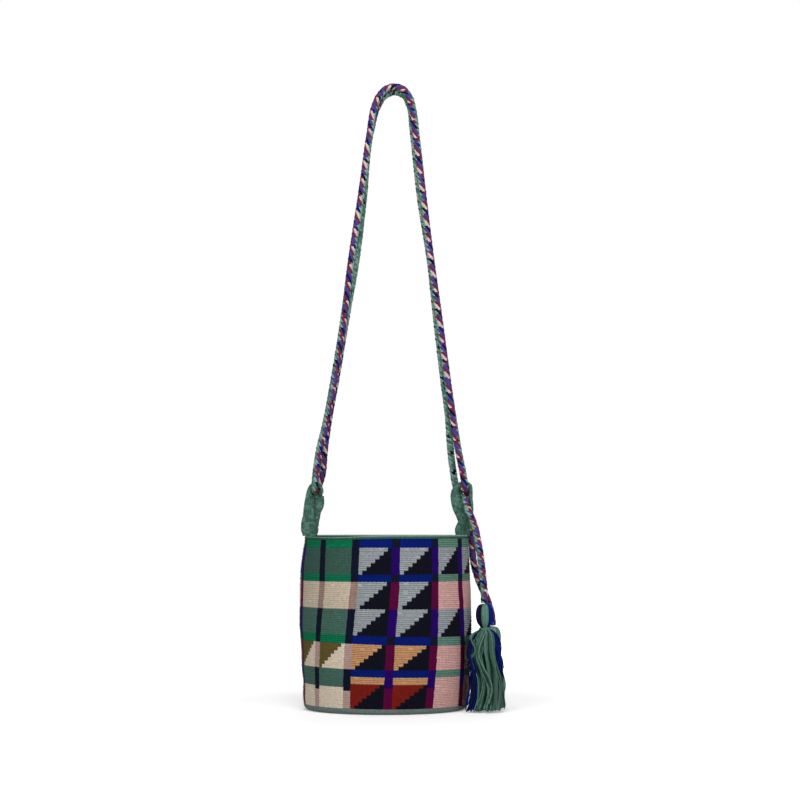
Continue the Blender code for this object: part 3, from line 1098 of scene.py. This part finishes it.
def make_loop(name, table, side, node):
    """A crocheted band, folded into a loop."""
    band, even = loop_band(table, side)
    rng = random.Random(11 + side)
    rows_of = int(even[-1] / LOOP_STITCH) + 2
    tweak = [uneven(rng, LOOP_PLUMP, LOOP_COLUMNS) for _ in range(rows_of)]
    tones = [[rng.choice(LOOP_TONES) for _ in range(LOOP_COLUMNS)] for _ in range(rows_of)]
    yarns = []
    half = LOOP_AROUND // 2
    for k in range(len(band) - 1):
        row = min(int(even[k] / LOOP_STITCH), rows_of - 1)
        for i in range(LOOP_AROUND):
            # Painted highlight on the band's two edges, in sage_pale
            edge = min(i % half, half - i % half) <= 1
            tone = tones[row][i * LOOP_COLUMNS // LOOP_AROUND]
            yarns.append(LOOP_YARNS.index("sage_pale" if edge and rng.random() < EDGE_HIGHLIGHT_SHARE else tone))
    vertices = loop_points(band, even, tweak)
    faces = tube_faces(len(band), LOOP_AROUND)
    loop = make_piece(name, vertices, faces, LOOP_YARNS, yarns + [0, 0])
    place_piece(loop, "sage_yarn", node)


# Bag body

# The chart's bands: name, first round, and how far its upper edge lies below the rim
BANDS = (
    ("rim", 0, 0.0022),
    ("A", 2, 0.0050),
    ("B", 4, 0.0154),
    ("C", 11, 0.0463),
    ("D", 13, 0.0547),
    ("E", 20, 0.0861),
    ("F", 27, 0.1169),
    ("G", 29, 0.1268),
    ("H", 36, 0.1555),
    ("I", 38, 0.1640),
    ("J", 40, 0.1723),
    ("base", 47, 0.2005),
)
OUTER_ROWS = 49
WALL_RUN = BAG_HEIGHT - BASE_CORNER + BASE_CORNER * math.pi / 2
BAND_ROUNDS = [first for _, first, _ in BANDS] + [OUTER_ROWS]
BAND_EDGES = [edge for _, _, edge in BANDS] + [WALL_RUN]


def by_band(**yarns):
    """The yarn of each band, from the bands of each yarn."""
    return {band: name for name, bands in yarns.items() for band in bands}


# In the green block, band B takes sage_deep, a darker copy of the sage yarn: painted shade
# Two yarns in one band make a stepped triangle: the left one, then the right one
GREEN_BLOCK = by_band(emerald="ACF", sage_deep="B", cream="D", sage_mid="EHI", cream_pale="J")
GREEN_BLOCK["G"] = ("olive", "cream_pale")
BLUE_BLOCK = by_band(blue="ACFH", ochre="I") | dict.fromkeys("BDE", ("grey", "ink"))
BLUE_BLOCK |= {"G": ("ochre", "ink"), "J": ("rust", "ink")}
PINK_BLOCK = by_band(sage_pale="ACFH", pink="DGIJ") | dict.fromkeys("BE", ("grey", "ink"))
GREEN_STRIPE = by_band(navy="ABCEFHI", mauve="D", mauve_pale="GJ")
PURPLE_STRIPE = by_band(navy="ACF", purple="BEHI", burgundy="DGJ")

# The darker tone of each yarn on the faces that slope down into the dip within each round and into the line between
# rounds: painted shade in these hollows, and partly the carried yarn that shows there
SHADE_AND_CARRIED_YARNS = {
    "sage_mid": "sage_deep", "sage_deep": "sage_line", "sage_pale": "sage_mid",
    "mauve_pale": "mauve", "cream_pale": "cream", "olive": "brown",
}
for yarn_name in ("emerald", "cream", "grey", "ochre", "pink", "mauve"):
    SHADE_AND_CARRIED_YARNS[yarn_name] = yarn_name + "_line"
LINE_SHARE = 0.97  # of the stitches


def band_of(row):
    """The band of a round, and the round's place in it."""
    name, first, _ = [band for band in BANDS if band[1] <= row][-1]
    return name, row - first


def chart(row, stitch):
    """The yarn of one stitch. Blocks go round in pairs of green, blue and pink."""
    band, step = band_of(row)
    if band == "rim":
        return "sage_deep" if step else "sage"
    if band == "base":
        return "edge"
    block, place = divmod(stitch % STITCHES, PERIOD)
    pair = (block % 6) // 2
    if place >= BLOCK:
        stripes = GREEN_STRIPE if pair == 0 else PURPLE_STRIPE
        if band == "J" and step < (2 if pair == 0 else 1):
            band = "I"
        return stripes[band]
    if pair == 0 and band == "J" and step == 0:
        band = "I"
    choice = (GREEN_BLOCK, BLUE_BLOCK, PINK_BLOCK)[pair][band]
    if isinstance(choice, str):
        return choice
    return choice[0] if place < BLOCK - 1 - step else choice[1]


def body_half_width(height):
    """The wall swells in its middle and draws in a little at the base."""
    share = np.asarray(height) / BAG_HEIGHT
    wave = np.sin(math.pi * np.clip((share - 0.02) / 0.93, 0, 1))
    taper = 0.0012 * np.clip(0.25 - share, 0, None) / 0.25
    return BAG_HALF_WIDTH + BAG_BULGE * np.clip(wave, 0, None) ** 0.9 - taper


def ellipse_table():
    """Angle round the bag for each share of its girth, from the front's middle to the right."""
    angle = np.linspace(0, TURN, 3601)
    x, y = np.sin(angle), -DEPTH_SHARE * np.cos(angle)
    girth = distances(np.stack([x, y], axis=1))
    return girth / girth[-1], angle


GIRTH, ANGLE = ellipse_table()
SUB_PLACES = (0.0, 0.30, 0.50, 0.80)  # lines of points in one round, from its top
SUB_LIFT = (-0.00085, 0.00032, -0.00055, 0.00028)  # how far each of them stands off the wall
LEG_PLACES = (0.0, 0.18, 0.5, 0.82)  # points across one stitch
LEG_LIFT = (-0.00030, 0.00008, -0.00008, 0.00008)
LEG_DIP = (0.0, 0.00020, 0.00042, 0.00020)  # how far a stitch hangs into the line below it

# The rim's lines from the inside out: how far inside the wall's outside, and how high over the rim
RIM_SHAPE = ((0.0034, -0.0026), (0.0030, -0.0017), (0.0018, -0.0012), (0.0006, -0.0016))
RIM_WAVY_ABOVE = -0.0020
STITCH_LIFT = 0.00016  # how far one stitch stands out more or less than the next
STITCH_SHIFT = 0.05
ROUND_LIFT = 0.00010
FIRST_LINE_EASE = 0.35  # the line between two rounds is flatter

# How far each of the front's stripes leans, in stitches, at four shares of the wall from the rim
STRIPE_PLACES = (-3.6, -2.716, -1.716, -0.716, 0.284, 1.284, 2.284, 3.6)
LEAN_AT = (0.0, 0.3, 0.6, 1.0)
BACK_LEAN = (0.0, -0.6, -1.2, -2.0)
STRIPE_LEAN = (
    BACK_LEAN,
    (1.2, 1.7, 1.7, 0.8),
    (0.1, 0.7, -0.6, -2.3),
    (-0.2, -0.4, -1.7, -2.9),
    (0.0, -0.4, -1.5, -2.3),
    (0.5, -0.1, -0.6, -1.5),
    (-0.9, -1.9, -1.1, -0.2),
    BACK_LEAN,
)
INSIDE_TOP = 0.0026  # below the rim
INSIDE_LINES = 21
INSIDE_IN = 0.0034  # from the wall's plain outside
INSIDE_GROOVE = 0.0004
DISC_SIDES = 66
DISC_RINGS = 5
UNDER_EDGE = 0.0004  # the underside lies this far above its edge
RIM_DIP = 0.0024
RIM_DIP_X = -0.065
RIM_DIP_REACH = 0.045  # half its width
RIM_DIP_FADE = 0.012  # how far down the wall it fades out
# The wall's left end lies this far in, at places below the rim
LEFT_AT = (0.0, 0.008, 0.020, 0.035, 0.055, 0.076, 0.110, 0.141, 0.158, 0.175, 0.192)
LEFT_IN = (0.0024, 0.0012, 0.0002, -0.0007, -0.0008, 0.0, 0.0002, 0.0020, 0.0015, 0.0021, 0.0002)
# Its right end lies this far out, at places below the rim
RIGHT_AT = (0.0, 0.020, 0.030, 0.050)
RIGHT_OUT = (0.0014, 0.0011, 0.0006, 0.0)
# Rounds droop to the right by this much for each unit of width, at places below the rim
DROOP_AT = (0.0, 0.050, 0.086, 0.117, 0.127, 0.155, 0.190, 0.205)
DROOP = (0.0, 0.0, 0.008, 0.026, 0.030, 0.020, 0.012, 0.0)


def stitch_angles(stitches, run):
    """Angles round the bag of places in a round, with the stripes' lean."""
    share = run / BAG_HEIGHT
    place = CHART_START + np.asarray(stitches, float) / PERIOD
    place = (place + PERIODS / 2) % PERIODS - PERIODS / 2
    leans = [np.interp(share, LEAN_AT, lean) for lean in STRIPE_LEAN]
    place = place + np.interp(place, STRIPE_PLACES, leans) / PERIOD
    return np.interp(place / PERIODS % 1, GIRTH, ANGLE)


def wall_at(run):
    """Half width, height, and the outward and downward parts of the wall's direction."""
    run = np.clip(run, 0.0, WALL_RUN)
    turn = np.clip((run - BAG_HEIGHT + BASE_CORNER) / BASE_CORNER, 0.0, math.pi / 2)
    height = np.where(turn > 0, BASE_CORNER * (1 - np.sin(turn)), BAG_HEIGHT - run)
    half = body_half_width(np.maximum(height, BASE_CORNER)) - BASE_CORNER * (1 - np.cos(turn))
    return half, height, np.cos(turn), np.sin(turn)


def end_shift(turn, run):
    """How far right a point of the wall moves near the bag's two ends."""
    left = np.interp(run, LEFT_AT, LEFT_IN) * np.clip(-np.sin(turn), 0, 1) ** 6
    return left + np.interp(run, RIGHT_AT, RIGHT_OUT) * np.clip(np.sin(turn), 0, 1) ** 6


def rim_dip(x, run):
    """How far the rim's dip lowers a point of the front."""
    across = np.exp(-(((x - RIM_DIP_X) / RIM_DIP_REACH) ** 2))
    return RIM_DIP * across * np.clip(1 - run / RIM_DIP_FADE, 0, 1)


def wall_line(stitches, run, dip, lift):
    """Points of one line round the wall, lifted off it."""
    turn = stitch_angles(stitches, run)
    droop = np.interp(run, DROOP_AT, DROOP)
    half, height, out, down = wall_at(run + dip + droop * BAG_HALF_WIDTH * np.sin(turn))
    x, y = np.sin(turn), -DEPTH_SHARE * np.cos(turn)
    nx, ny = x, y / DEPTH_SHARE**2
    size = np.hypot(nx, ny)
    lift = lift * (1 - 0.7 * down)
    lowered = rim_dip(half * x, run) * (y < 0)
    return np.stack(
        [
            BAG_AXIS_X + half * x + nx / size * out * lift + end_shift(turn, run),
            half * y + ny / size * out * lift,
            BASE_Z + height - down * lift - lowered,
        ],
        axis=1,
    )


def rim_points(places):
    """Lines of points over the rim, from the inside out."""
    leg_lift = np.tile(LEG_LIFT, STITCHES)
    turn = stitch_angles(places, 0.0)
    points = []
    for inward, up in RIM_SHAPE:
        half = body_half_width(BAG_HEIGHT) - inward
        wavy = leg_lift * 0.8 if up > RIM_WAVY_ABOVE else 0 * leg_lift
        x = BAG_AXIS_X + half * np.sin(turn) + end_shift(turn, 0.0)
        y = -half * DEPTH_SHARE * np.cos(turn)
        lowered = rim_dip(x - BAG_AXIS_X, 0.0) * (y < 0)
        points.extend(np.stack([x, y, BASE_Z + BAG_HEIGHT + up + wavy - lowered], axis=1))
    return points


def outer_points(places, rng):
    """Lines of points down the wall and round the base's corner, with every stitch."""
    subs = len(SUB_PLACES)
    legs = len(LEG_PLACES)
    leg_lift = np.tile(LEG_LIFT, STITCHES)
    leg_dip = np.tile(LEG_DIP, STITCHES)
    points = []
    for line in range(OUTER_ROWS * subs + 1):
        row, sub = divmod(line, subs)
        if sub == 0:
            plump = np.repeat(uneven(rng, STITCH_LIFT, STITCHES), legs)
            shift = np.repeat(uneven(rng, STITCH_SHIFT, STITCHES), legs)
            row_plump = rng.uniform(-ROUND_LIFT, ROUND_LIFT)
        run = np.interp(row + SUB_PLACES[sub], BAND_ROUNDS, BAND_EDGES)
        ease = FIRST_LINE_EASE if sub == 0 else 1.0
        lift = SUB_LIFT[sub] + leg_lift * ease + plump * ease + row_plump
        dip = leg_dip if sub == 0 and 1 < row < OUTER_ROWS - 2 else 0 * leg_dip
        points.extend(wall_line(places + shift, run, dip, lift))
    return points


def outer_yarns(rng):
    """The yarn of each face outside, with painted shade: darker on the faces that slope into the dips and the lines
    between the rounds.
    """
    yarns = []
    for row in range(OUTER_ROWS):
        stitch_yarns = [chart(row, stitch) for stitch in range(STITCHES)]
        for sub in range(len(SUB_PLACES)):
            for name in stitch_yarns:
                # Painted shade, partly carried yarn: these faces slope into a hollow and take the yarn's darker tone
                darker = sub % 2 == 1 and rng.random() < LINE_SHARE
                yarns += [SHADE_AND_CARRIED_YARNS.get(name, name) if darker else name] * len(LEG_PLACES)
    return yarns


def oval_points(half, height, turns):
    """Points at some turns round a level oval."""
    return [
        (BAG_AXIS_X + half * math.sin(turn), -half * DEPTH_SHARE * math.cos(turn), BASE_Z + height)
        for turn in turns
    ]


def add_inside(vertices, faces):
    """The wall's inside, in coarser rows. Gives each face's yarn."""
    start = len(vertices)
    rows = INSIDE_LINES - 1
    for k in range(INSIDE_LINES):
        run = INSIDE_TOP + (BAG_HEIGHT - INSIDE_TOP - FLOOR) * k / rows
        half = body_half_width(BAG_HEIGHT - run) - INSIDE_IN - INSIDE_GROOVE * (k % 2)
        turns = stitch_angles(np.arange(STITCHES), run)
        vertices.extend(oval_points(half, BAG_HEIGHT - run, turns))
    faces += ring_faces(INSIDE_LINES, STITCHES, start, turned=True)
    yarns = []
    for k in range(rows):
        row = int(OUTER_ROWS * (k + 0.5) / rows)
        yarns += [chart(row, stitch) for stitch in range(STITCHES)]
    return yarns


def add_disc(vertices, faces, height, outer_half, down):
    """A level disc in rings, the floor or the underside. Gives each face's yarn."""
    start = len(vertices)
    turns = [TURN * c / DISC_SIDES for c in range(DISC_SIDES)]
    rise = UNDER_EDGE if down else 0.0
    for k in range(DISC_RINGS + 1):
        half = outer_half * (1 - k / (DISC_RINGS + 1))
        vertices.extend(oval_points(half, height + (rise if k else 0.0), turns))
    new = ring_faces(DISC_RINGS + 1, DISC_SIDES, start, turned=not down)
    centre = len(vertices)
    vertices.append((BAG_AXIS_X, 0, BASE_Z + height + rise))
    last = start + DISC_RINGS * DISC_SIDES
    for c in range(DISC_SIDES):
        tri = (last + c, centre, last + (c + 1) % DISC_SIDES)
        new.append(tri if down else tri[::-1])
    faces += new
    return ["edge"] * len(new)


def make_body():
    """The crocheted bucket, outside, inside and underneath."""
    rng = random.Random(3)
    places = np.repeat(np.arange(STITCHES), len(LEG_PLACES)) + np.tile(LEG_PLACES, STITCHES)
    vertices = rim_points(places) + outer_points(places, rng)
    faces = ring_faces(len(vertices) // len(places), len(places))
    # The rim's top takes the paler sage_light: a painted highlight where light falls on the top of the rim
    yarns = ["sage_light"] * (len(RIM_SHAPE) * len(places)) + outer_yarns(rng)
    yarns += add_inside(vertices, faces)
    yarns += add_disc(vertices, faces, FLOOR, body_half_width(FLOOR) - 0.0030, down=False)
    under = body_half_width(BASE_CORNER) - BASE_CORNER + UNDER_EDGE
    yarns += add_disc(vertices, faces, 0.0, under, down=True)
    names = tuple(YARNS)
    body = make_piece("bag_crochet", vertices, faces, names, [names.index(name) for name in yarns])
    place_piece(body, "body_yarn", "bag_body")


# The scene

set_camera()
strap, strap_path = make_strap()
front_tassel, front_binding = make_tassel(
    "front_tassel_yarn",
    top=STRAP_ROUTE[0],
    lean=-1,
    half_width=FRONT_SKIRT,
    length=FRONT_SKIRT_LENGTH,
    paint=front_skirt_yarn,
    head_paint=front_head_yarn,
    seed=21,
    strands=640,
    loose=1.36,
)
back_tassel, back_binding = make_tassel(
    "back_tassel_yarn",
    top=STRAP_ROUTE[-1],
    lean=3,
    half_width=BACK_SKIRT,
    length=BACK_SKIRT_LENGTH,
    paint=back_skirt_yarn,
    head_paint=back_head_yarn,
    seed=34,
    strands=420,
    loose=1.0,
)
place_piece(front_tassel, "tassel_yarn", "front_tassel")
place_piece(front_binding, "sage_yarn", "front_tassel_wrap")
place_piece(back_tassel, "tassel_yarn", "back_tassel")
place_piece(back_binding, "sage_yarn", "back_tassel_wrap")
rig.cord(
    strap,
    exit=STRAP_ROUTE[0],
    length=CORD_LENGTH,
    diameter=CORD,
    far_end="knot",
    stiffness="limp",
    lay="taut",
    path=[tuple(p) for p in strap_path[::4]] + [tuple(strap_path[-1])],
    with_pieces=[front_tassel, front_binding, back_tassel, back_binding],
)
make_loop("left_loop_crochet", LEFT_LOOP, -1, "left_loop")
make_loop("right_loop_crochet", RIGHT_LOOP, 1, "right_loop")
make_body()

set_world()
for light in LIGHTS:
    area_light(*light)
make_floor()
bpy.context.scene.view_settings.view_transform = "Standard"

shown_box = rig.bounds()
with open("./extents.json", "w") as out:
    json.dump({"cad": [list(c) for c in cad_box], "shown": [list(c) for c in shown_box]}, out)
